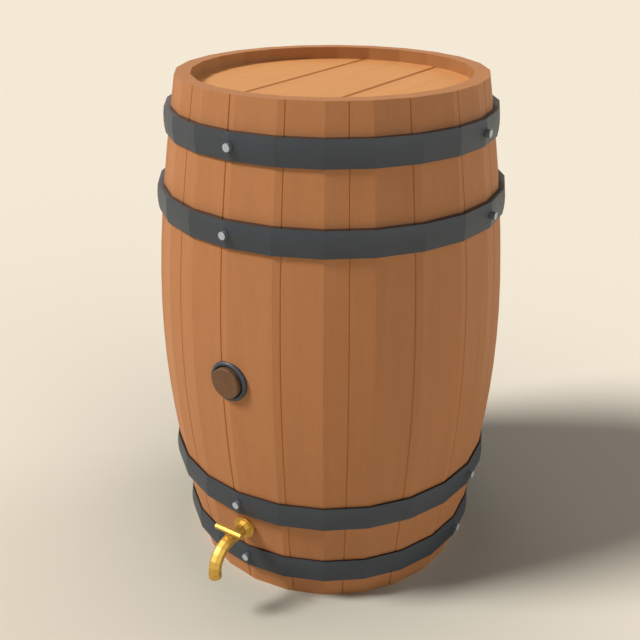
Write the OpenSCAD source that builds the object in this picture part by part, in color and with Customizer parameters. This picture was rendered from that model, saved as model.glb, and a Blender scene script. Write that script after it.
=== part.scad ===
// Wooden barrel: bulging staves in four iron hoops, a boarded head at each end, a stopper at
// mid height and a small brass tap near the foot.
// Millimetres, +Z up. The origin is the centre of the base, and the tap looks along -Y.
// A heading is an angle about Z, from -Y towards +X.

/* [Barrel] */
// Height from the floor to the rim
barrel_h = 900; // [780:5:1020]
// Radius at each end, across the corners of the facets
end_r = 261.5; // [245:0.5:285]
// How far the staves belly out at mid height
belly = 49.7; // [36:0.1:62]
// Flat facets around the barrel
facet_count = 24; // [16:8:40]

/* [Staves] */
// Number of staves
stave_count = 18; // [14:1:20]
// Thickness of a stave
stave_t = 26; // [23:0.5:30]
// Heading of the first joint between staves, in degrees
seam_turn = -2.5; // [-3.5:0.1:-2]
// Bevel along the outer edges of each stave
stave_arris = 1.5; // [0.8:0.1:2.5]

/* [Heads] */
// Depth of the recess between the rim and a head
head_drop = 22; // [14:0.5:32]
// Thickness of the head boards
head_t = 22; // [18:0.5:28]
// Thickness of the tongue around a head
tongue_t = 9; // [6:0.5:12]
// Depth of the groove in the staves that takes the tongue
croze_d = 8; // [6:0.5:10]
// Half the width of a head's middle board
board_half_w = 76.2; // [60:0.2:100]
// How far the middle board sits off the barrel's axis, towards +X
board_shift = 5.3; // [0:0.1:12]
// Bevel along the joints of the head boards
board_arris = 1.4; // [0.6:0.1:2.4]
// Radius of the dowels between head boards
dowel_r = 5; // [3:0.5:6.5]
// Length of a dowel
dowel_l = 60; // [40:2:80]
// Distance of the dowels from the middle of a head
dowel_y = 95; // [60:5:130]
// Gap around a head's tongue and around the dowels
head_fit = 0.2; // [0.1:0.05:0.4]

/* [Hoops] */
// Width of a hoop
hoop_w = 43.5; // [38:0.5:54]
// How far a hoop's edges stand out from the staves at its middle
hoop_stand = 7.4; // [6:0.1:11]
// Extra height of a hoop's rounded middle
hoop_crown = 2; // [0.5:0.1:3.5]
// Thickness of a hoop at its two edges
hoop_lip = 1.2; // [0.8:0.1:2.5]
// Depth of the relief behind each edge
hoop_relief = 5; // [3:0.5:9]
// Gap between hoops and staves
hoop_fit = 0.15; // [0.1:0.05:0.3]
// Distance of the chime hoops from the barrel's ends
chime_hoop_d = 71; // [60:0.5:90]
// Distance of the quarter hoops from the barrel's ends
quarter_hoop_d = 200.5; // [185:0.5:225]

/* [Rivets] */
// Rivets in each hoop
rivet_count = 4; // [2:2:8]
// Radius of a rivet's head
rivet_head_r = 6.5; // [5:0.25:8.5]
// How far a rivet's face stands out from the hoop
rivet_proud = 6.8; // [4:0.1:9]
// Depth of the flat that a rivet's head sits on
rivet_seat_d = 1.3; // [1.1:0.1:1.6]
// Bevel around a rivet's face
rivet_edge = 0.4; // [0.2:0.1:1.2]
// Radius of a rivet's shank
rivet_shank_r = 3; // [2:0.25:4]
// Depth of the shank in the stave
rivet_bite = 15; // [8:1:18]
// Gap around a rivet's shank
rivet_fit = 0.1; // [0.05:0.05:0.3]

/* [Bung] */
// Radius of the stopper's face
bung_r = 27; // [22:0.5:32]
// How far the stopper's face stands out from the staves
bung_proud = 9.6; // [5:0.2:12]
// Length of the stopper
bung_l = 42; // [36:1:56]
// How much smaller the stopper's inner end is, in radius
bung_taper = 1.5; // [0.5:0.1:3]
// Bevel around the stopper's face
bung_edge = 1.6; // [0.5:0.1:3]
// Gap around the stopper
bung_fit = 0.3; // [0.2:0.05:0.6]
// Width of the rounded ring on the bush
bush_ring_w = 8.1; // [5:0.1:9]
// How far the ring stands out from the staves
bush_proud = 2.7; // [2.2:0.1:5]
// Wall of the bush's sleeve
bush_wall = 2.8; // [2:0.1:4]
// Gap between the bush and the staves
bush_fit = 0.15; // [0.1:0.05:0.4]

/* [Tap] */
// Height of the tap's axis
tap_z = 140; // [128:1:150]
// Flats around the flange
flange_sides = 12; // [6:2:16]
// Radius of the flange, across its corners
flange_r = 21.4; // [19:0.2:24]
// Thickness of the flange
flange_t = 7; // [5:0.2:10]
// Thickness of the seal behind the flange
seal_t = 1.8; // [1:0.1:3]
// Radius of the collar on the flange, across its corners
collar_r = 14.5; // [12.5:0.25:17]
// Length of the collar
collar_l = 7; // [4:0.5:10]
// Flats around the collar, the tube and the handle bar
tube_sides = 8; // [6:2:12]
// Radius of the tube, across its corners
tube_r = 11.5; // [10.75:0.25:12.25]
// Wall of the spout, at the tube's corners
spout_wall = 3; // [1.5:0.25:4]
// Length of the tube from the flange to the middle of the key
tube_l = 41; // [38:0.5:55]
// Radius of the bend's centre line
bend_r = 40; // [32:1:50]
// Straight pieces that make up the bend
bend_pieces = 6; // [4:1:9]
// Length of the spout's round straight end
spout_l = 10; // [6:1:20]
// How far that end stands in from the tube's corners
spout_step = 0.15; // [0.05:0.05:0.2]
// Radius of the tail that passes through the stave
tail_r = 9.5; // [7:0.25:9.8]
// Length of the tail past the back nut
tail_past = 5; // [2:0.5:10]
// Gap around the tail
tail_fit = 0.2; // [0.1:0.05:0.4]
// Radius of the waterway
waterway_r = 3.2; // [2.5:0.1:3.4]
// Thickness of the back nut
nut_t = 8; // [5:0.5:12]
// Corner radius of the back nut
nut_r = 16; // [13:0.5:18]

/* [Tap key] */
// Radius of the key
key_r = 4.8; // [4.4:0.1:5.2]
// Running gap around the key and its stem
key_fit = 0.06; // [0.03:0.01:0.09]
// Free play above and below the key
key_play = 0.3; // [0.2:0.05:0.5]
// Depth of the key below the tap's axis
key_depth = 7; // [6:0.25:7.5]
// Radius of the key's stem
stem_r = 3; // [2.2:0.1:3.3]
// Radius of the upright boss around the key
boss_r = 7.6; // [7.2:0.1:9]
// Height of the boss above the tube
boss_rise = 2.5; // [1:0.25:4]
// Length of the gland that screws into the boss
gland_l = 5; // [3.5:0.25:5.5]
// Radius of the gland
gland_r = 6.2; // [5.7:0.1:6.4]
// Thickness of the ring seals on the key
ring_t = 1.2; // [0.8:0.1:1.4]
// Radius of the handle bar, across its corners
bar_r = 5.75; // [4.5:0.25:7]
// Length of the handle bar
bar_l = 56; // [44:1:66]
// Gap between the boss and the handle bar
bar_gap = 1; // [0.5:0.25:3]
// Bevel at the ends of the handle bar
bar_edge = 0.9; // [0.3:0.1:1.5]

/* [Hidden] */
$fn = 96;

oak = [0.68, 0.45, 0.29];
head_oak = [0.8, 0.57, 0.37];
dowel_wood = [0.75, 0.58, 0.38];
iron = [0.26, 0.27, 0.28];
rivet_steel = [0.62, 0.63, 0.63];
bung_wood = [0.45, 0.32, 0.23];
bush_iron = [0.24, 0.26, 0.28];
brass = [0.8, 0.62, 0.26];
seal_rubber = [0.12, 0.11, 0.1];

function stave_name(k) = str("stave_", k < 9 ? "0" : "", k + 1);
board_names = ["left", "middle", "right"];
hoop_names = ["bottom_chime_hoop", "lower_quarter_hoop", "upper_quarter_hoop", "top_chime_hoop"];
stave_names = [for (k = [0 : stave_count - 1]) stave_name(k)];

// Overrun of every cut
over = 1;
// Steps in height along a stave
wall_steps = 16;
facet_deg = 360 / facet_count;
stave_deg = 360 / stave_count;
rivet_deg = 360 / rivet_count;
// Steps around a flange when its flat seat is worked out
seat_step_deg = 10;

bilge_r = end_r + belly;
arris_deg = atan(stave_arris / bilge_r);
hoop_heights = [
    chime_hoop_d, quarter_hoop_d, barrel_h - quarter_hoop_d, barrel_h - chime_hoop_d
];
bung_z = barrel_h / 2;

// Radius across the facet corners at height z
function wall_r(z) = end_r + belly * sin(180 * z / barrel_h);
// Share of the corner radius that a flat facet has at heading a
function facet_share(a) =
    cos(facet_deg / 2) / cos(a - facet_deg * floor(a / facet_deg) - facet_deg / 2);
function spot(r, a, z) = [r * sin(a), -r * cos(a), z];
function facet_spot(r, a, z) = spot(r * facet_share(a), a, z);

// Distance from the barrel's axis of the wall's outer corner line, at a point near it
function front_y(z, x) = wall_r(z) - abs(x) * tan(facet_deg / 2);
// Flat that a round flange of this reach beds on, cut into the outside of the wall
function outer_flat(z, reach) =
    min([for (a = [0 : seat_step_deg : 360]) front_y(z + reach * cos(a), reach * sin(a))]);
// The same, cut into the inside of the wall
function inner_flat(z, reach) =
    max([for (a = [0 : seat_step_deg : 360]) wall_r(z + reach * cos(a)) - stave_t]);

// Turns the local z axis to point outwards, at a heading and height
module facing(a, z) rotate([0, 0, a]) translate([0, 0, z]) rotate([90, 0, 0]) children();

// Round piece turned about the local z axis between two distances
module turned(r, from, to) translate([0, 0, from]) cylinder(r = r, h = to - from);

// Corners of a polygon of this corner radius, with a flat at the top
function corners(r, sides) = [
    for (c = [0 : sides - 1]) let (turn = (c + 1 / 2) * 360 / sides) r * [sin(turn), cos(turn)]
];

// Solid through a row of rings with the same number of points, closed at both ends
module loft(rings) {
    count = len(rings[0]);
    last = len(rings) - 1;
    function id(i, j) = i * count + j % count;
    faces = concat(
        [
            for (i = [0 : last - 1], j = [0 : count - 1])
                [id(i, j), id(i, j + 1), id(i + 1, j + 1), id(i + 1, j)]
        ],
        [[for (j = [count - 1 : -1 : 0]) id(0, j)], [for (j = [0 : count - 1]) id(last, j)]]
    );
    polyhedron([for (ring = rings) each ring], faces);
}

// Staves

// Headings of a stave's sections: its two edges with their bevels, and the corners between
function stave_headings(k) =
    let (first = seam_turn + k * stave_deg, last = first + stave_deg)
    concat(
        [first, first + arris_deg],
        [
            for (c = [ceil(first / facet_deg) : floor(last / facet_deg)])
                if (c * facet_deg > first + arris_deg && c * facet_deg < last - arris_deg)
                    c * facet_deg
        ],
        [last - arris_deg, last]
    );

// Whether a stave comes within reach of a heading, both in degrees
function stave_meets(k, a, reach) =
    let (middle = seam_turn + (k + 1 / 2) * stave_deg, off = (a - middle) % 360)
    min(abs(off), 360 - abs(off)) < stave_deg / 2 + reach;

module stave_blank(k) {
    headings = stave_headings(k);
    count = len(headings);
    last = count - 1;
    levels = [for (i = [0 : wall_steps]) barrel_h * i / wall_steps];
    points = [
        for (z = levels, s = [0 : last])
            each [
                facet_spot(wall_r(z) - (s == 0 || s == last ? stave_arris : 0), headings[s], z),
                facet_spot(wall_r(z) - stave_t, headings[s], z)
            ]
    ];
    function outer(i, s) = (i * count + s) * 2;
    function inner(i, s) = outer(i, s) + 1;
    faces = concat(
        [
            for (i = [0 : wall_steps - 1], s = [0 : last - 1])
                [outer(i, s), outer(i + 1, s), outer(i + 1, s + 1), outer(i, s + 1)]
        ],
        [
            for (i = [0 : wall_steps - 1], s = [0 : last - 1])
                [inner(i, s + 1), inner(i + 1, s + 1), inner(i + 1, s), inner(i, s)]
        ],
        [
            for (i = [0 : wall_steps - 1])
                [inner(i, 0), inner(i + 1, 0), outer(i + 1, 0), outer(i, 0)]
        ],
        [
            for (i = [0 : wall_steps - 1])
                [outer(i, last), outer(i + 1, last), inner(i + 1, last), inner(i, last)]
        ],
        [
            for (s = [0 : last - 1])
                [outer(0, s), outer(0, s + 1), inner(0, s + 1), inner(0, s)]
        ],
        [
            for (s = [0 : last - 1]) let (i = wall_steps)
                [outer(i, s), inner(i, s), inner(i, s + 1), outer(i, s + 1)]
        ]
    );
    polyhedron(points, faces);
}

// Corner radius of the groove for the heads: past the corners of the inner wall by croze_d
croze_r = wall_r(barrel_h - head_drop) - stave_t + croze_d;

// Groove that takes the tongue of a head, measured down from the head's outer face
module croze_cut() {
    translate([0, 0, -tongue_t]) linear_extrude(tongue_t)
        polygon([for (c = [0 : facet_count - 1]) croze_r * [sin(c * facet_deg), -cos(c * facet_deg)]]);
}

module at_top() translate([0, 0, barrel_h - head_drop]) children();
module at_bottom() translate([0, 0, head_drop]) mirror([0, 0, 1]) children();

// Everything that the bung and the tap need cut in the front of the wall
module front_cuts() {
    facing(0, bung_z) {
        turned(bush_r + bush_fit, 0, bilge_r + over);
        turned(ring_out_r + bush_fit, bush_seat, bilge_r + over);
    }
    facing(0, tap_z) {
        turned(tail_r + tail_fit, 0, bilge_r);
        turned(flange_r + tail_fit, tap_seat, bilge_r);
        turned(nut_r + tail_fit, tap_seat - stave_t - nut_t, tap_inner_seat);
    }
}

module stave(k) {
    color(oak) difference() {
        stave_blank(k);
        at_top() croze_cut();
        at_bottom() croze_cut();
        if (stave_meets(k, 0, asin(ring_out_r / end_r))) front_cuts();
        for (n = [0 : rivet_count - 1]) {
            if (stave_meets(k, n * rivet_deg, asin(rivet_shank_r / end_r))) {
                for (z = hoop_heights) {
                    facing(n * rivet_deg, z)
                        turned(rivet_shank_r + rivet_fit, wall_r(z) - rivet_bite, bilge_r + over);
                }
            }
        }
    }
}

// Heads

// Radius of a head's tongue, and of the body of the head that clears the wall below it
tongue_r = croze_r * cos(facet_deg / 2) - head_fit;
head_r = (croze_r - croze_d) * cos(facet_deg / 2) - head_fit;

// A head as one disc, with its outer face at z = 0
module head_disc() {
    translate([0, 0, -tongue_t]) cylinder(r = tongue_r, h = tongue_t);
    translate([0, 0, -head_t]) cylinder(r = head_r, h = head_t);
}

// Places the dowels of a head, each along x and centred on a joint
module at_dowels() {
    for (x = [board_shift - board_half_w, board_shift + board_half_w], y = [-dowel_y, dowel_y])
        translate([x, y, -head_t / 2]) rotate([0, 90, 0]) children();
}

// Outline of the middle board seen from its end, bevelled along both joints
function middle_outline() = [
    [-board_half_w, -head_t], [board_half_w, -head_t], [board_half_w, -board_arris],
    [board_half_w - board_arris, 0], [board_arris - board_half_w, 0], [-board_half_w, -board_arris]
];

// Outline of the board on one side, square at its outer edge
function side_outline() = let (outer = croze_r + board_shift) [
    [board_half_w, -head_t], [outer, -head_t], [outer, 0],
    [board_half_w + board_arris, 0], [board_half_w, -board_arris]
];

module board_cut(outline) {
    rotate([90, 0, 0]) linear_extrude(2 * croze_r, center = true) polygon(outline);
}

// Shape of a board before the head's outline and its dowel holes: 0 is left, 2 is right
module board_blank(n) {
    if (n == 0) mirror([1, 0, 0]) board_cut(side_outline());
    if (n == 1) board_cut(middle_outline());
    if (n == 2) board_cut(side_outline());
}

// One board of a head
module head_board(n) {
    color(head_oak) difference() {
        intersection() {
            head_disc();
            translate([board_shift, 0, 0]) board_blank(n);
        }
        at_dowels() cylinder(r = dowel_r + head_fit, h = dowel_l + 2 * head_fit, center = true);
    }
}

module head_dowels() color(dowel_wood) at_dowels() cylinder(r = dowel_r, h = dowel_l, center = true);

// Hoops

function hoop_edge_r(z) = wall_r(z) + hoop_stand;
function hoop_face_r(z) = hoop_edge_r(z) + hoop_crown;
// Share of the crown at a quarter of the hoop's width
crown_share = 0.75;

// Section of a hoop at height z: crowned outside, thin at the edges, bedded on the staves
function hoop_outline(z) =
    let (edge_r = hoop_edge_r(z), low = z - hoop_w / 2, high = z + hoop_w / 2)
    [
        [edge_r, low],
        [edge_r + crown_share * hoop_crown, z - hoop_w / 4],
        [edge_r + hoop_crown, z],
        [edge_r + crown_share * hoop_crown, z + hoop_w / 4],
        [edge_r, high],
        [edge_r - hoop_lip, high],
        [wall_r(high - hoop_relief) + hoop_fit, high - hoop_relief],
        [wall_r(low + hoop_relief) + hoop_fit, low + hoop_relief],
        [edge_r - hoop_lip, low]
    ];

module hoop_band(z) {
    outline = hoop_outline(z);
    count = len(outline);
    points = [
        for (c = [0 : facet_count - 1], p = outline) spot(p[0], c * facet_deg, p[1])
    ];
    function id(c, j) = (c % facet_count) * count + j % count;
    faces = [
        for (c = [0 : facet_count - 1], j = [0 : count - 1])
            [id(c, j), id(c, j + 1), id(c + 1, j + 1), id(c + 1, j)]
    ];
    polyhedron(points, faces);
}

module at_rivets(z) for (n = [0 : rivet_count - 1]) facing(n * rivet_deg, z) children();

module hoop(z) {
    color(iron) difference() {
        hoop_band(z);
        at_rivets(z) {
            turned(rivet_shank_r + rivet_fit, wall_r(z) - over, hoop_face_r(z) + over);
            turned(rivet_head_r + rivet_fit, hoop_face_r(z) - rivet_seat_d, hoop_face_r(z) + over);
        }
    }
}

// Rivets of one hoop: a flat bevelled head on its seat, and a shank that bites into the stave
module rivets(z) {
    seat = hoop_face_r(z) - rivet_seat_d;
    face = hoop_face_r(z) + rivet_proud;
    root = wall_r(z) - rivet_bite + rivet_fit;
    color(rivet_steel) at_rivets(z) rotate_extrude() polygon([
        [0, root], [rivet_shank_r, root], [rivet_shank_r, seat], [rivet_head_r, seat],
        [rivet_head_r, face - rivet_edge], [rivet_head_r - rivet_edge, face], [0, face]
    ]);
}

// Bung

bush_bore_r = bung_r + bung_fit;
bush_r = bush_bore_r + bush_wall;
ring_out_r = bush_bore_r + bush_ring_w;
bush_seat = outer_flat(bung_z, ring_out_r);
bush_face = bilge_r + bush_proud;
bush_end = inner_flat(bung_z, 0);
bung_face = bilge_r + bung_proud;
bung_end = bung_face - bung_l;

// Radius of the stopper at a distance from the barrel's axis
function bung_r_at(y) = bung_r - bung_taper * (bung_face - y) / bung_l;

// Metal bush: a rounded ring on a flat in the staves, and a sleeve with a tapered bore
module bung_bush() {
    ring_mid_r = (bush_bore_r + ring_out_r) / 2;
    round_r = bush_ring_w / 2;
    color(bush_iron) facing(0, bung_z) difference() {
        rotate_extrude() {
            translate([bush_bore_r, bush_seat]) square([bush_ring_w, bush_face - round_r - bush_seat]);
            translate([ring_mid_r, bush_face - round_r]) intersection() {
                circle(r = round_r);
                translate([-round_r, 0]) square([bush_ring_w, round_r]);
            }
            translate([bush_bore_r - bung_taper, bush_end])
                square([bush_wall + bung_taper, bush_seat - bush_end + over]);
        }
        rotate_extrude() polygon([
            [0, bung_end], [bung_r_at(bung_end) + bung_fit, bung_end],
            [bung_r_at(bung_face) + bung_fit, bung_face], [0, bung_face]
        ]);
    }
}

module bung() {
    color(bung_wood) facing(0, bung_z) rotate_extrude() polygon([
        [0, bung_end], [bung_r_at(bung_end) - bung_edge, bung_end],
        [bung_r_at(bung_end + bung_edge), bung_end + bung_edge],
        [bung_r_at(bung_face - bung_edge), bung_face - bung_edge],
        [bung_r - bung_edge, bung_face], [0, bung_face]
    ]);
}

// Tap

tap_seat = outer_flat(tap_z, flange_r);
tap_inner_seat = inner_flat(tap_z, nut_r);
flange_back = tap_seat + seal_t;
flange_face = flange_back + flange_t;
nut_seat = tap_inner_seat - seal_t;
tail_end = nut_seat - nut_t - tail_past;
key_y = flange_face + tube_l;
bend_start = key_y + key_r - waterway_r / 2;
spout_y = bend_start + bend_r;
spout_end_z = tap_z - bend_r - spout_l;
spout_r = tube_r - spout_step;
spout_bore_r = tube_r - spout_wall;
boss_top_z = tap_z + tube_r + boss_rise;
gland_seat_z = boss_top_z - gland_l;
key_bottom_z = tap_z - key_depth;
key_top_z = gland_seat_z - key_play;
bar_z = boss_top_z + bar_gap + bar_r * cos(180 / tube_sides);
stem_top_z = bar_z + bar_r / 2;
key_bore_r = key_r + key_fit;
ring_r = ring_t / 2;
// Angle around the bend at which the spout's wide bore begins
wide_bore_deg = atan((key_bore_r + spout_wall) / bend_r);

// An upright piece on the tap's key axis, between two heights
module upright(r, from, to) translate([0, -key_y, from]) cylinder(r = r, h = to - from);

// Corners across the tube at an angle around the bend, moved along the tube from there
function tube_ring(r, bend_deg, past) = [
    for (p = corners(r, tube_sides)) let (reach = bend_r + p[1]) [
        p[0],
        -bend_start - reach * sin(bend_deg) - past * cos(bend_deg),
        tap_z - bend_r + reach * cos(bend_deg) - past * sin(bend_deg)
    ]
];

// Collar, tube and bend, without their bores
module tube() {
    loft(concat(
        [
            tube_ring(collar_r, 0, flange_back + flange_t / 2 - bend_start),
            tube_ring(collar_r, 0, flange_face - bend_start),
            tube_ring(tube_r, 0, flange_face + collar_l - bend_start)
        ],
        [for (i = [0 : bend_pieces]) tube_ring(tube_r, 90 * i / bend_pieces, 0)],
        [tube_ring(tube_r, 90, over)]
    ));
}

// Wide bore from the key to the end of the spout
module spout_bore() {
    translate([0, -bend_start, tap_z - bend_r]) rotate([180, -90, 0]) rotate([0, 0, wide_bore_deg])
        rotate_extrude(angle = 90 - wide_bore_deg) translate([bend_r, 0]) circle(r = spout_bore_r);
    translate([0, -spout_y, spout_end_z - over]) cylinder(r = spout_bore_r, h = spout_l + over);
}

module tap_body() {
    color(brass) difference() {
        union() {
            facing(0, tap_z) {
                turned(tail_r, tail_end, flange_face);
                translate([0, 0, flange_back]) linear_extrude(flange_t)
                    polygon(corners(flange_r, flange_sides));
            }
            upright(boss_r, tap_z, boss_top_z);
            tube();
            translate([0, -spout_y, spout_end_z]) cylinder(r = spout_r, h = spout_l);
        }
        facing(0, tap_z) turned(waterway_r, tail_end - over, key_y + key_bore_r + 2 * spout_wall);
        upright(key_bore_r, key_bottom_z, boss_top_z + over);
        upright(gland_r, gland_seat_z, boss_top_z + over);
        spout_bore();
    }
}

// A flat ring on the tail of the tap
module tail_ring(r, from, to) {
    facing(0, tap_z) difference() {
        turned(r, from, to);
        turned(tail_r + tail_fit, from - over, to + over);
    }
}

module tap_flange_seal() {
    color(seal_rubber) tail_ring(flange_r * cos(180 / flange_sides) - tail_fit, tap_seat, flange_back);
}
module tap_inner_seal() color(seal_rubber) tail_ring(nut_r - tail_fit, nut_seat, tap_inner_seat);

module tap_back_nut() {
    color(brass) facing(0, tap_z) difference() {
        translate([0, 0, nut_seat - nut_t]) cylinder(r = nut_r, h = nut_t, $fn = 6);
        turned(tail_r + tail_fit, nut_seat - nut_t - over, nut_seat + over);
    }
}

module tap_gland() {
    color(brass) difference() {
        upright(gland_r - key_fit, gland_seat_z, boss_top_z);
        upright(stem_r + key_fit, gland_seat_z - over, boss_top_z + over);
    }
}

// Heights of the two ring seals, half way between the cross hole and the ends of the key
ring_heights = [
    (key_bottom_z + tap_z - waterway_r) / 2, (key_top_z + tap_z + waterway_r) / 2
];

module tap_key() {
    color(brass) difference() {
        union() {
            upright(key_r, key_bottom_z + key_play, key_top_z);
            upright(stem_r, key_top_z, stem_top_z);
        }
        translate([0, -key_y, tap_z]) rotate([0, 90, 0])
            cylinder(r = waterway_r, h = 2 * (key_r + over), center = true);
        for (z = ring_heights) difference() {
            upright(key_r + over, z - ring_r - key_fit, z + ring_r + key_fit);
            upright(key_r - ring_t - key_fit, z - ring_t, z + ring_t);
        }
    }
}

module tap_key_rings() {
    color(seal_rubber) for (z = ring_heights) {
        translate([0, -key_y, z]) rotate_extrude() translate([key_r - ring_r, 0]) circle(r = ring_r);
    }
}

module tap_handle_bar() {
    function ring(r, x) = [for (p = corners(r, tube_sides)) [x, -key_y + p[0], bar_z + p[1]]];
    color(brass) difference() {
        loft([
            ring(bar_r - bar_edge, -bar_l / 2), ring(bar_r, -bar_l / 2 + bar_edge),
            ring(bar_r, bar_l / 2 - bar_edge), ring(bar_r - bar_edge, bar_l / 2)
        ]);
        upright(stem_r + key_fit, bar_z - bar_r - over, stem_top_z);
    }
}

for (k = [0 : stave_count - 1]) stave(k);
for (n = [0 : len(board_names) - 1]) {
    at_top() head_board(n);
    at_bottom() head_board(n);
}
at_top() head_dowels();  // top_head_dowels
at_bottom() head_dowels();  // bottom_head_dowels
for (h = [0 : len(hoop_heights) - 1]) {
    hoop(hoop_heights[h]);
    rivets(hoop_heights[h]);
}
bung_bush();
bung();
tap_body();
tap_flange_seal();
tap_inner_seal();
tap_back_nut();
tap_gland();
tap_key();
tap_key_rings();
tap_handle_bar();
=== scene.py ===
"""A wooden barrel with iron hoops, a stopper and a small brass tap, on a plain pale floor."""
import math

import bpy
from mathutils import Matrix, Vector


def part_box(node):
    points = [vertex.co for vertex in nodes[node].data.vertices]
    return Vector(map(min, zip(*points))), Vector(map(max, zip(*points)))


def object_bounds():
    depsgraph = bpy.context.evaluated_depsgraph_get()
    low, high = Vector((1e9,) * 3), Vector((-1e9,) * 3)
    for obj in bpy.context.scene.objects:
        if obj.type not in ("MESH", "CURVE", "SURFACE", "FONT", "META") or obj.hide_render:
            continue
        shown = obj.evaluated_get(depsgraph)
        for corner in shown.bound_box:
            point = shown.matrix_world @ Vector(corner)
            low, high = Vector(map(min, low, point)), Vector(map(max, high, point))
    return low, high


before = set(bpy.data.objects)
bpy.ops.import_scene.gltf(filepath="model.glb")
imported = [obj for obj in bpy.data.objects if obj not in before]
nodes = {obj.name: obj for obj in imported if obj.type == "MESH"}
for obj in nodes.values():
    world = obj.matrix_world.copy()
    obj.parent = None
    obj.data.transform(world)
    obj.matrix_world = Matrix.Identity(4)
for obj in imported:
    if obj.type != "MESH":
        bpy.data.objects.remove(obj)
cad_box = [list(corner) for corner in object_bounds()]
scene = bpy.context.scene

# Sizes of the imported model, in metres and degrees
HEIGHT = cad_box[1][2]
END_R = 0.2615
BELLY = 0.0497
STAVES = 18
STAVE_TURN = 360 / STAVES
SEAM_HEADING = -2.5
SPOUT_END_L = 0.011
SPOUT_END_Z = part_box("tap_body")[0].z + SPOUT_END_L
BOARD_EDGES = [corner[0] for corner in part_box("top_head_board_middle")]
HOOP_NAMES = ("bottom_chime_hoop", "lower_quarter_hoop", "upper_quarter_hoop", "top_chime_hoop")
HOOP_BOXES = [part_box(name) for name in HOOP_NAMES]

# The photograph's camera, in metres, with its film and lens in millimetres
CAMERA_PLACE = (0.79789, -1.27210, 1.15643)
CAMERA_LOOK = (-0.48892, 0.75730, -0.43296)
FILM_W = 36
LENS = 49.455
LENS_SHIFT = -0.0005

# How far the colours of joints and the painted shade by the hoops reach, in metres: whole at the first
# number, gone at the second
STAVE_SEAM = (0.0008, 0.0022)
BOARD_SEAM = (0.0040, 0.0060)
HOOP_PAINTED_SHADE = (-0.0004, 0.0006)

# The outside's colours reach this far into the wall and end this far below the rim, in metres
SKIN = 0.006
RIM_EDGE = 0.0004

# The height that the painted light on the staves' foot fades out over, in metres
FOOT_PAINTED_LIGHT_H = 0.13

# The floor's half width, and where its painted shade near the barrel starts and how fast it fades, in
# metres
FLOOR_REACH = 60
FLOOR_SHADE_R = 0.31
FLOOR_SHADE_L = 0.33

# Colours, as 0-255 sRGB
OAK = (177, 118, 73)
OAK_INSIDE = (177, 126, 79)
OAK_SEAM = (182, 117, 66)
# Painted shade for the crevices under the hoops
OAK_PAINTED_SHADE = (96, 66, 48)
HEAD_OAK = (211, 146, 87)
HEAD_SEAM = (174, 106, 46)
IRON = (46, 53, 60)
# Painted light for the hoops' slope that faces the staves
IRON_INSIDE_PAINTED_LIGHT = (112, 118, 128)
BUSH_IRON = (51, 59, 69)
STEEL_FACE = (172, 178, 184)
# Painted shade for the rivet heads' sides
STEEL_SIDE_PAINTED_SHADE = (96, 102, 108)
BUNG_OAK = (106, 75, 50)
BRASS = (202, 165, 82)
# Painted shade for the up-facing step at the spout's round end
BRASS_SHOULDER_PAINTED_SHADE = (160, 128, 62)
DOWEL_WOOD = (196, 150, 100)
RUBBER = (38, 36, 34)
FLOOR = (244, 232, 212)
# Painted shade for the floor around the barrel
FLOOR_PAINTED_SHADE = (194, 190, 175)
STUDIO = (242, 232, 213)

# The tint of the lamps that fill the shadows
COOL = (0.93, 1.0, 1.07)

# The stretch of a noise's values, 0 to 1, that a tone or a gloss follows
MIDDLE = (0.3, 0.7)
WIDE = (0.25, 0.75)
PORES = (0.3, 0.48)

# The stretch of a face's outward or upward look, -1 to 1, over which a colour changes
TURNS_IN = (-0.3, -0.05)
RIVET_FACE = (0.5, 0.8)
LOOKS_UP = (0.3, 0.6)

# Where each wood lies in the noise, so that no two boards share their grain
STAVE_DEPTH = 3.7
HEAD_DEPTH = 5.3
BUNG_DEPTH = 9.1
RING_DEPTH = 2.0
DOWEL_DEPTH = 1.3

# How fast the grain changes along a board, next to its change across it
STREAK_PACE = 0.05
PORE_PACE = 0.02
RING_PACE = 0.25

WOOD_GLOSS = 0.25


def linear(rgb):
    """A colour written as 0-255 sRGB, as Blender's shaders want it."""
    return tuple(
        v / 12.92 if v <= 0.04045 else ((v + 0.055) / 1.055) ** 2.4 for v in (c / 255 for c in rgb)
    )


# Camera and light


def add_camera():
    """The photograph's view, solved from the barrel's outline, rims and joints."""
    data = bpy.data.cameras.new("camera")
    data.sensor_width = FILM_W
    data.lens = LENS
    data.shift_x = LENS_SHIFT
    camera = bpy.data.objects.new("camera", data)
    scene.collection.objects.link(camera)
    camera.location = CAMERA_PLACE
    camera.rotation_euler = Vector(CAMERA_LOOK).to_track_quat("-Z", "Y").to_euler()
    scene.camera = camera


def add_sun(name, heading, elevation, width, strength, colour=(1, 1, 1)):
    """A far lamp. heading is from -Y towards +X, and width is how wide its disc is, all in degrees."""
    data = bpy.data.lights.new(name, "SUN")
    data.angle = math.radians(width)
    data.energy = strength
    data.color = colour
    lamp = bpy.data.objects.new(name, data)
    scene.collection.objects.link(lamp)
    h, e = math.radians(heading), math.radians(elevation)
    to_lamp = Vector((math.sin(h) * math.cos(e), -math.cos(h) * math.cos(e), math.sin(e)))
    lamp.rotation_euler = (-to_lamp).to_track_quat("-Z", "Y").to_euler()


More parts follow.
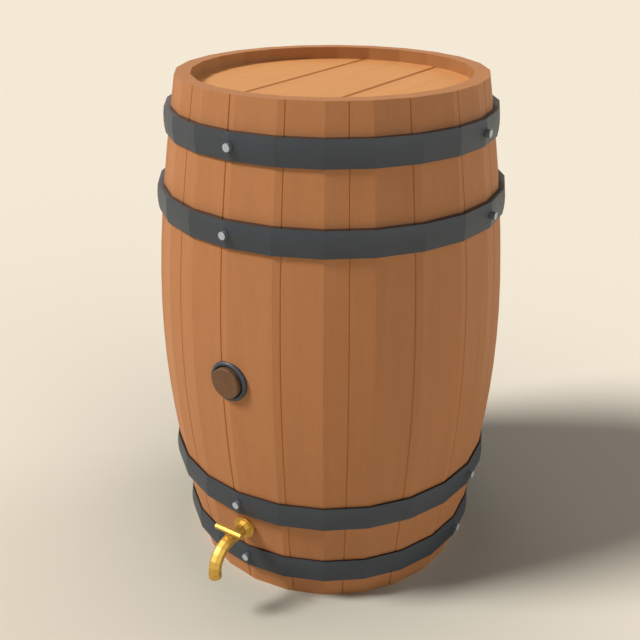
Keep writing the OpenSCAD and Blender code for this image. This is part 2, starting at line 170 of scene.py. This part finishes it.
def add_world(fill, seen):
    """The studio around the object: a weak fill light, and how bright it looks to the eye and in gloss."""
    world = bpy.data.worlds.new("studio")
    scene.world = world
    world.use_nodes = True
    tree = world.node_tree
    background = tree.nodes["Background"]
    background.inputs["Color"].default_value = (*linear(STUDIO), 1)
    path = tree.nodes.new("ShaderNodeLightPath").outputs
    to_eye = path["Is Camera Ray"]
    for ray in ("Is Glossy Ray", "Is Transmission Ray"):
        either = tree.nodes.new("ShaderNodeMath")
        either.operation = "MAXIMUM"
        tree.links.new(to_eye, either.inputs[0])
        tree.links.new(path[ray], either.inputs[1])
        to_eye = either.outputs[0]
    strength = tree.nodes.new("ShaderNodeMapRange")
    strength.inputs["To Min"].default_value = fill
    strength.inputs["To Max"].default_value = seen
    tree.links.new(to_eye, strength.inputs["Value"])
    tree.links.new(strength.outputs[0], background.inputs["Strength"])


# Materials


class Nodes:
    """A short way to write a material's nodes."""

    def __init__(self, name, rough, metal=0.0, specular=0.5):
        self.material = bpy.data.materials.new(name)
        self.material.use_nodes = True
        self.tree = self.material.node_tree
        self.shader = self.tree.nodes["Principled BSDF"]
        self.shader.inputs["Metallic"].default_value = metal
        self.shader.inputs["Specular IOR Level"].default_value = specular
        self.shader.inputs["Roughness"].default_value = rough
        coords = self.tree.nodes.new("ShaderNodeTexCoord").outputs
        self.place, self.normal = coords["Object"], coords["Normal"]

    def put(self, value, socket):
        """Link a socket, or set it to a number or a colour."""
        if isinstance(value, bpy.types.NodeSocket):
            self.tree.links.new(value, socket)
        elif isinstance(value, tuple):
            socket.default_value = (*value, 1)
        else:
            socket.default_value = value

    def math(self, operation, *values):
        node = self.tree.nodes.new("ShaderNodeMath")
        node.operation = operation
        for value, socket in zip(values, node.inputs):
            self.put(value, socket)
        return node.outputs[0]

    def plus(self, a, b):
        return self.math("ADD", a, b)

    def minus(self, a, b):
        return self.math("SUBTRACT", a, b)

    def times(self, *values):
        product = values[0]
        for value in values[1:]:
            product = self.math("MULTIPLY", product, value)
        return product

    def split(self, vector):
        node = self.tree.nodes.new("ShaderNodeSeparateXYZ")
        self.put(vector, node.inputs[0])
        return node.outputs

    def join(self, x, y, z):
        node = self.tree.nodes.new("ShaderNodeCombineXYZ")
        for value, socket in zip((x, y, z), node.inputs):
            self.put(value, socket)
        return node.outputs[0]

    def noise(self, vector, scale, detail, rough=0.5, distortion=0.0):
        node = self.tree.nodes.new("ShaderNodeTexNoise")
        self.put(vector, node.inputs["Vector"])
        node.inputs["Scale"].default_value = scale
        node.inputs["Detail"].default_value = detail
        node.inputs["Roughness"].default_value = rough
        node.inputs["Distortion"].default_value = distortion
        return node.outputs["Fac"]

    def random(self, value):
        """A number from 0 to 1 that belongs to the value."""
        node = self.tree.nodes.new("ShaderNodeTexWhiteNoise")
        node.noise_dimensions = "1D"
        self.put(value, node.inputs["W"])
        return node.outputs["Value"]

    def remap(self, value, start, end, before=0.0, after=1.0, shape="SMOOTHSTEP"):
        """Goes from before to after as the value goes from start to end."""
        node = self.tree.nodes.new("ShaderNodeMapRange")
        node.interpolation_type = shape
        for number, socket in zip((value, start, end, before, after), node.inputs):
            self.put(number, socket)
        return node.outputs[0]

    def mix(self, factor, a, b, blend="MIX"):
        node = self.tree.nodes.new("ShaderNodeMix")
        node.data_type = "RGBA"
        node.blend_type = blend
        self.put(factor, node.inputs["Factor"])
        self.put(a, node.inputs["A"])
        self.put(b, node.inputs["B"])
        return node.outputs["Result"]

    def shade(self, colour, factor):
        """The colour times a number near 1."""
        return self.mix(1.0, colour, self.join(factor, factor, factor), "MULTIPLY")

    def radius(self):
        """How far a point is from the barrel's axis."""
        x, y, _ = self.split(self.place)
        return self.math("SQRT", self.plus(self.times(x, x), self.times(y, y)))

    def outward(self):
        """How far a face looks away from the barrel's axis, -1 to 1."""
        x, y, _ = self.split(self.place)
        normal_x, normal_y, _ = self.split(self.normal)
        across = self.plus(self.times(x, normal_x), self.times(y, normal_y))
        return self.math("DIVIDE", across, self.radius())

    def inside(self):
        """1 where a face looks towards the barrel's axis, and 0 where it doesn't."""
        return self.remap(self.outward(), *TURNS_IN, before=1.0, after=0.0)

    def bump(self, height, strength, distance):
        node = self.tree.nodes.new("ShaderNodeBump")
        node.inputs["Strength"].default_value = strength
        node.inputs["Distance"].default_value = distance
        self.put(height, node.inputs["Height"])
        self.put(node.outputs[0], self.shader.inputs["Normal"])

    def finish(self, colour, rough=None):
        self.put(colour, self.shader.inputs["Base Color"])
        if rough is not None:
            self.put(rough, self.shader.inputs["Roughness"])
        return self.material


def streaks(m, across, along, depth):
    """Long soft streaks of sawn oak. across and along are lengths over and along the grain."""
    place = m.join(across, depth, m.times(along, STREAK_PACE))
    return m.noise(place, scale=55.0, detail=3.0, rough=0.55, distortion=0.4)


def pores(m, across, along, depth):
    """Fine dark lines of sawn oak."""
    place = m.join(across, depth, m.times(along, PORE_PACE))
    return m.noise(place, scale=420.0, detail=2.0, rough=0.6)


def stave_oak():
    m = Nodes("oak_staves", rough=0.62, specular=WOOD_GLOSS)
    x, y, z = m.split(m.place)
    radius = m.radius()

    # Where a point lies on its stave
    heading = m.math("DEGREES", m.math("ARCTAN2", x, m.times(y, -1.0)))
    turns = m.math("DIVIDE", m.minus(heading, SEAM_HEADING), STAVE_TURN)
    number = m.math("FLOOR", turns)
    width = m.times(radius, math.radians(STAVE_TURN))
    across = m.times(m.minus(turns, number), width)
    to_seam = m.math("MINIMUM", across, m.minus(width, across))

    # Plain oak, with streaks, pores, a tone of its own for each stave, and painted light that makes the
    # foot paler
    own_place = m.times(number, STAVE_DEPTH)
    depth = m.plus(own_place, radius)
    broad = streaks(m, across, z, depth)
    fine = pores(m, across, z, depth)
    level = m.times(
        m.remap(broad, *WIDE, before=0.967, after=1.028),
        m.remap(fine, *PORES, before=0.962),
        m.remap(m.random(own_place), 0.0, 1.0, before=0.985, after=1.015, shape="LINEAR"),
        # Painted light: the staves get paler towards the foot
        m.remap(z, 0.0, FOOT_PAINTED_LIGHT_H, before=1.16),
    )
    colour = m.shade(m.mix(m.inside(), linear(OAK), linear(OAK_INSIDE)), level)

    # Joints, and painted shade in the crevices under the hoops, on the outside alone
    rise = m.math("SINE", m.times(z, math.pi / HEIGHT))
    skin_r = m.plus(END_R - SKIN, m.times(rise, BELLY))
    below_rim = m.math("LESS_THAN", z, HEIGHT - RIM_EDGE)
    outside = m.times(m.math("GREATER_THAN", radius, skin_r), below_rim)
    seam = m.times(m.remap(to_seam, *STAVE_SEAM, before=1.0, after=0.0), outside)
    colour = m.mix(seam, colour, linear(OAK_SEAM))
    hoop_crevice_shade = 0.0
    for low, high in HOOP_BOXES:
        middle, half = (low.z + high.z) / 2, (high.z - low.z) / 2
        off = m.math("ABSOLUTE", m.minus(z, middle))
        start, end = (half + reach for reach in HOOP_PAINTED_SHADE)
        hoop_crevice_shade = m.plus(hoop_crevice_shade, m.remap(off, start, end, before=1.0, after=0.0))
    colour = m.mix(m.times(hoop_crevice_shade, outside), colour, linear(OAK_PAINTED_SHADE))

    m.bump(m.plus(m.times(fine, 0.5), broad), strength=0.12, distance=0.0006)
    return m.finish(colour, m.remap(fine, *MIDDLE, before=0.68, after=0.58))


def head_oak():
    m = Nodes("oak_heads", rough=0.6, specular=WOOD_GLOSS)
    x, y, _ = m.split(m.place)
    number = m.plus(*[m.math("GREATER_THAN", x, edge) for edge in BOARD_EDGES])
    to_edges = [m.math("ABSOLUTE", m.minus(x, edge)) for edge in BOARD_EDGES]
    depth = m.times(number, HEAD_DEPTH)
    broad = streaks(m, x, y, depth)
    fine = pores(m, x, y, depth)
    level = m.times(
        m.remap(broad, *WIDE, before=0.97, after=1.026),
        m.remap(fine, *PORES, before=0.955),
        m.remap(m.random(number), 0.0, 1.0, before=0.99, after=1.01, shape="LINEAR"),
    )
    seam = m.remap(m.math("MINIMUM", *to_edges), *BOARD_SEAM, before=1.0, after=0.0)
    colour = m.mix(seam, m.shade(linear(HEAD_OAK), level), linear(HEAD_SEAM))
    m.bump(m.plus(m.times(fine, 0.5), broad), strength=0.1, distance=0.0006)
    return m.finish(colour, m.remap(fine, *MIDDLE, before=0.66, after=0.56))


def bung_oak():
    """The stopper's grain runs up and down on its face."""
    m = Nodes("bung_wood", rough=0.6, specular=WOOD_GLOSS)
    x, _, z = m.split(m.place)
    broad = streaks(m, x, z, BUNG_DEPTH)
    fine = pores(m, x, z, BUNG_DEPTH)
    ring_place = m.join(x, RING_DEPTH, m.times(z, RING_PACE))
    rings = m.noise(ring_place, scale=130.0, detail=3.0, distortion=0.6)
    level = m.times(
        m.remap(rings, *MIDDLE, before=0.9, after=1.08),
        m.remap(fine, 0.3, 0.5, before=0.93),
    )
    m.bump(m.plus(rings, m.times(fine, 0.4)), strength=0.12, distance=0.0004)
    return m.finish(m.shade(linear(BUNG_OAK), level), m.remap(broad, *MIDDLE, before=0.6, after=0.52))


def dowel_wood():
    m = Nodes("dowel_wood", rough=0.6)
    x, y, _ = m.split(m.place)
    broad = streaks(m, y, x, DOWEL_DEPTH)
    return m.finish(m.shade(linear(DOWEL_WOOD), m.remap(broad, *MIDDLE, before=0.92, after=1.05)))


def hoop_iron():
    """Dark iron, with painted light that makes the slope facing the staves paler."""
    m = Nodes("hoop_iron", rough=0.5)
    cloudy = m.noise(m.place, scale=26.0, detail=4.0, rough=0.55)
    speckle = m.noise(m.place, scale=520.0, detail=2.0, rough=0.6)
    level = m.times(
        m.remap(cloudy, *MIDDLE, before=0.93, after=1.07),
        m.remap(speckle, *MIDDLE, before=0.95, after=1.05),
    )
    # Painted light: the slope that faces the staves is made paler than the iron
    colour = m.mix(m.inside(), linear(IRON), linear(IRON_INSIDE_PAINTED_LIGHT))
    m.bump(m.plus(cloudy, m.times(speckle, 0.25)), strength=0.15, distance=0.0005)
    return m.finish(m.shade(colour, level), m.remap(cloudy, *MIDDLE, before=0.46, after=0.56))


def bush_iron():
    m = Nodes("bush_iron", rough=0.42)
    cloudy = m.noise(m.place, scale=90.0, detail=3.0, rough=0.55)
    level = m.remap(cloudy, *MIDDLE, before=0.92, after=1.08)
    m.bump(cloudy, strength=0.1, distance=0.0003)
    return m.finish(m.shade(linear(BUSH_IRON), level), m.remap(cloudy, *MIDDLE, before=0.38, after=0.46))


def rivet_steel():
    """Bright flat faces, with painted shade that darkens the sides."""
    m = Nodes("rivet_steel", rough=0.45)
    cloudy = m.noise(m.place, scale=260.0, detail=3.0, rough=0.55)
    level = m.remap(cloudy, *MIDDLE, before=0.94, after=1.06)
    # Painted shade: the sides of each head are darker than its face
    face = m.remap(m.outward(), *RIVET_FACE)
    colour = m.mix(face, linear(STEEL_SIDE_PAINTED_SHADE), linear(STEEL_FACE))
    m.bump(cloudy, strength=0.1, distance=0.0002)
    return m.finish(m.shade(colour, level), m.remap(cloudy, *MIDDLE, before=0.42, after=0.52))


def tap_brass():
    """Satin brass, with painted shade on the small step where the spout's round end starts."""
    m = Nodes("tap_brass", rough=0.52, metal=1.0)
    cloudy = m.noise(m.place, scale=150.0, detail=3.0)
    fine = m.noise(m.place, scale=900.0, detail=2.0)
    level = m.remap(cloudy, *MIDDLE, before=0.97, after=1.03)
    z, up = m.split(m.place)[2], m.split(m.normal)[2]
    # Painted shade on the up-facing faces of the spout's end step
    spout_step_shade = m.times(m.remap(up, *LOOKS_UP), m.math("LESS_THAN", z, SPOUT_END_Z))
    colour = m.mix(spout_step_shade, linear(BRASS), linear(BRASS_SHOULDER_PAINTED_SHADE))
    m.bump(fine, strength=0.05, distance=0.0001)
    return m.finish(m.shade(colour, level), m.remap(cloudy, *MIDDLE, before=0.48, after=0.56))


def seal_rubber():
    m = Nodes("seal_rubber", rough=0.65)
    cloudy = m.noise(m.place, scale=300.0, detail=3.0)
    m.bump(cloudy, strength=0.1, distance=0.0002)
    return m.finish(m.shade(linear(RUBBER), m.remap(cloudy, *MIDDLE, before=0.88, after=1.1)))


def floor_paper():
    """Pale paper, with painted shade that greys it near the barrel."""
    m = Nodes("floor_paper", rough=1.0, specular=0.0)
    # Painted shade: the floor greys towards the barrel
    floor_shade_near_barrel = m.math("EXPONENT", m.math("DIVIDE", m.minus(FLOOR_SHADE_R, m.radius()), FLOOR_SHADE_L))
    return m.finish(m.mix(floor_shade_near_barrel, linear(FLOOR), linear(FLOOR_PAINTED_SHADE)))


# The material for each slot that model.glb names
MATERIALS = {
    "staves": stave_oak(),
    "heads": head_oak(),
    "dowels": dowel_wood(),
    "hoops": hoop_iron(),
    "rivets": rivet_steel(),
    "bush": bush_iron(),
    "bung": bung_oak(),
    "tap_brass": tap_brass(),
    "seals": seal_rubber(),
}


def dress_nodes():
    """Put each material on the object, so that the mesh stays as it was packed."""
    for node in nodes.values():
        for slot in node.material_slots:
            slot.link = "OBJECT"
            slot.material = MATERIALS[node.data.materials[0].name]


def add_floor():
    mesh = bpy.data.meshes.new("floor")
    corners = [(x * FLOOR_REACH, y * FLOOR_REACH, 0) for x, y in ((-1, -1), (1, -1), (1, 1), (-1, 1))]
    mesh.from_pydata(corners, [], [(0, 1, 2, 3)])
    mesh.materials.append(floor_paper())
    floor = bpy.data.objects.new("floor", mesh)
    scene.collection.objects.link(floor)


add_camera()
add_sun("key", heading=-46.5, elevation=47, width=16, strength=3.36)
add_sun("left", heading=-122, elevation=48, width=36, strength=0.2, colour=COOL)
add_sun("rear", heading=145, elevation=25, width=30, strength=0.64, colour=COOL)
add_sun("right", heading=73, elevation=12, width=50, strength=0.76, colour=COOL)
add_world(fill=0.05, seen=1.013)
add_floor()
dress_nodes()

scene.view_settings.view_transform = "Standard"

bpy.context.view_layer.update()
